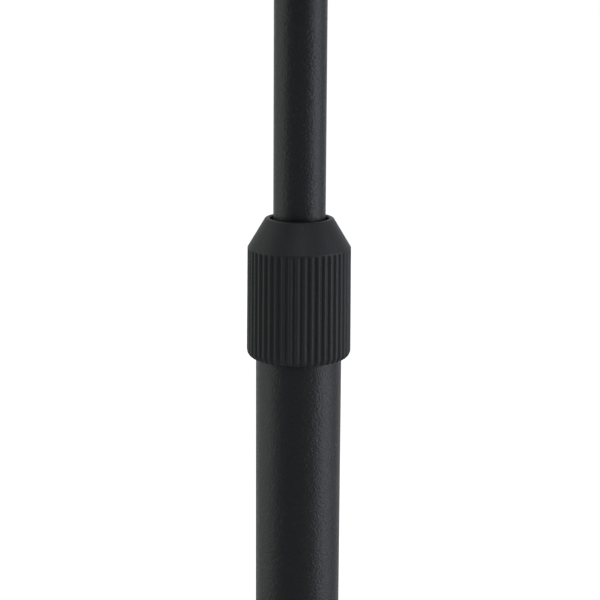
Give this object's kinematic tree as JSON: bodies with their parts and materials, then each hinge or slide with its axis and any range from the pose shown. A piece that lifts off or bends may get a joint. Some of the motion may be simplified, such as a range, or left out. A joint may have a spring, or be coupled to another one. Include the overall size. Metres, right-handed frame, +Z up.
{
  "type": "music stand",
  "caption": "Floor music stand: tilting sheet-steel desk on a telescopic mast, held by a ribbed twist clutch, on a folding tripod base.",
  "frame": {"origin": "on the column's axis at floor level, in the middle of the three feet", "axes": "+Z up along the column, -Y towards the player, +X to the player's right"},
  "size_m": [0.5252, 0.4577, 1.2434],
  "materials": {
    "black_tube_enamel": "satin black powder coat with a fine grain",
    "black_sheet_enamel": "satin black powder coat on sheet steel",
    "black_casting": "satin black paint on die-cast metal",
    "black_moulding": "matte black glass-filled nylon",
    "collar_plastic": "matte black plastic, ribbed",
    "knob_plastic": "matte black plastic",
    "natural_nylon": "natural nylon",
    "turned_alloy": "turned aluminium",
    "zinc_steel": "zinc-plated steel",
    "black_rivet": "blackened steel",
    "insert_brass": "machined brass",
    "fibre_disc": "pressed friction fibre",
    "boot_rubber": "matte black rubber"
  },
  "bodies": {
    "column": {"outer_tube": "black_tube_enamel", "clutch_body": "turned_alloy", "lower_hub": "black_moulding", "lower_hub_rivets": "black_rivet", "lower_pins": "zinc_steel", "column_plug": "boot_rubber"},
    "clutch_ring": {"thrust_ring": "zinc_steel"},
    "collar": {"clutch_collar": "collar_plastic"},
    "collet": {"clutch_collet": "natural_nylon"},
    "mast": {"inner_tube": "black_tube_enamel", "guide_bush": "natural_nylon", "bush_pin": "zinc_steel", "tilt_head": "black_casting", "head_pin": "zinc_steel"},
    "desk": {"desk_panel": "black_sheet_enamel", "music_shelf": "black_sheet_enamel", "shelf_rivets": "black_rivet", "desk_spine": "black_sheet_enamel", "spine_rivets": "black_rivet", "tilt_bracket": "black_sheet_enamel", "bracket_rivets": "black_rivet", "tilt_bolt": "zinc_steel", "friction_discs": "fibre_disc"},
    "tilt_washer": {"tilt_washer": "zinc_steel"},
    "tilt_knob": {"tilt_knob": "knob_plastic", "tilt_knob_insert": "insert_brass"},
    "slider": {"slider_hub": "black_moulding", "upper_pins": "zinc_steel", "lock_insert": "insert_brass"},
    "lock_pad": {"lock_pad": "natural_nylon"},
    "lock_knob": {"lock_stud": "zinc_steel", "lock_knob": "knob_plastic"},
    "brace_1": {"brace_bars_1": "black_sheet_enamel", "brace_rivet_1": "zinc_steel"},
    "leg_1": {"leg_tube_1": "black_tube_enamel", "leg_knuckle_1": "black_moulding", "foot_1": "boot_rubber"},
    "brace_2": {"brace_bars_2": "black_sheet_enamel", "brace_rivet_2": "zinc_steel"},
    "leg_2": {"leg_tube_2": "black_tube_enamel", "leg_knuckle_2": "black_moulding", "foot_2": "boot_rubber"},
    "brace_3": {"brace_bars_3": "black_sheet_enamel", "brace_rivet_3": "zinc_steel"},
    "leg_3": {"leg_tube_3": "black_tube_enamel", "leg_knuckle_3": "black_moulding", "foot_3": "boot_rubber"}
  },
  "joints": [
    {"name": "clutch_lift", "type": "slide", "parent": "column", "child": "clutch_ring", "axis": [0, 0, 1], "range_m": [0, 0.00151]},
    {"name": "clutch_twist", "type": "hinge", "parent": "clutch_ring", "child": "collar", "pos_m": [0, 0, 0.7], "axis": [0, 0, 1], "range_deg": [0, 270]},
    {"name": "mast_swivel", "type": "hinge", "parent": "column", "child": "collet", "pos_m": [0, 0, 0.7], "axis": [0, 0, 1], "continuous": true},
    {"name": "height_slide", "type": "slide", "parent": "collet", "child": "mast", "axis": [0, 0, 1], "range_m": [-0.29, 0.23]},
    {"name": "desk_tilt", "type": "hinge", "parent": "mast", "child": "desk", "pos_m": [0, 0, 1.07], "axis": [1, 0, 0], "range_deg": [-68, 27]},
    {"name": "tilt_washer_slide", "type": "slide", "parent": "desk", "child": "tilt_washer", "axis": [1, 0, 0], "range_m": [0, 0.00126]},
    {"name": "tilt_knob_turn", "type": "hinge", "parent": "tilt_washer", "child": "tilt_knob", "pos_m": [0.03, 0, 1.07], "axis": [1, 0, 0], "range_deg": [0, 360]},
    {"name": "leg_fold", "type": "hinge", "parent": "column", "child": "brace_1", "pos_m": [0, 0.03205, 0.034], "axis": [1, 0, 0], "range_deg": [0, 61]},
    {"name": "leg_1_hinge", "type": "hinge", "parent": "brace_1", "child": "leg_1", "pos_m": [0, 0.13794, 0.08115], "axis": [1, 0, 0], "range_deg": [-122, 0]},
    {"name": "brace_2_hinge", "type": "hinge", "parent": "column", "child": "brace_2", "pos_m": [-0.02776, -0.01603, 0.034], "axis": [-0.5, 0.866, 0], "range_deg": [0, 61]},
    {"name": "leg_2_hinge", "type": "hinge", "parent": "brace_2", "child": "leg_2", "pos_m": [-0.11946, -0.06897, 0.08115], "axis": [-0.5, 0.866, 0], "range_deg": [-122, 0]},
    {"name": "brace_3_hinge", "type": "hinge", "parent": "column", "child": "brace_3", "pos_m": [0.02776, -0.01603, 0.034], "axis": [-0.5, -0.866, 0], "range_deg": [0, 61]},
    {"name": "leg_3_hinge", "type": "hinge", "parent": "brace_3", "child": "leg_3", "pos_m": [0.11946, -0.06897, 0.08115], "axis": [-0.5, -0.866, 0], "range_deg": [-122, 0]},
    {"name": "slider_hinge", "type": "hinge", "parent": "leg_1", "child": "slider", "pos_m": [0, 0.03205, 0.12829], "axis": [1, 0, 0], "range_deg": [0, 61]},
    {"name": "lock_pad_slide", "type": "slide", "parent": "slider", "child": "lock_pad", "axis": [0, -1, 0], "range_m": [0, 0.00126]},
    {"name": "lock_knob_turn", "type": "hinge", "parent": "lock_pad", "child": "lock_knob", "pos_m": [0, -0.04405, 0.13629], "axis": [0, -1, 0], "range_deg": [0, 360]}
  ],
  "couplings": [
    {"joint": "clutch_lift", "follows": "clutch_twist", "m_per_rad": 0.00031831},
    {"joint": "tilt_washer_slide", "follows": "tilt_knob_turn", "m_per_rad": 0.00019894},
    {"joint": "leg_1_hinge", "follows": "leg_fold", "ratio": -2},
    {"joint": "brace_2_hinge", "follows": "leg_fold", "ratio": 1},
    {"joint": "leg_2_hinge", "follows": "leg_fold", "ratio": -2},
    {"joint": "brace_3_hinge", "follows": "leg_fold", "ratio": 1},
    {"joint": "leg_3_hinge", "follows": "leg_fold", "ratio": -2},
    {"joint": "slider_hinge", "follows": "leg_fold", "ratio": 1},
    {"joint": "lock_pad_slide", "follows": "lock_knob_turn", "m_per_rad": 0.00019894}
  ]
}
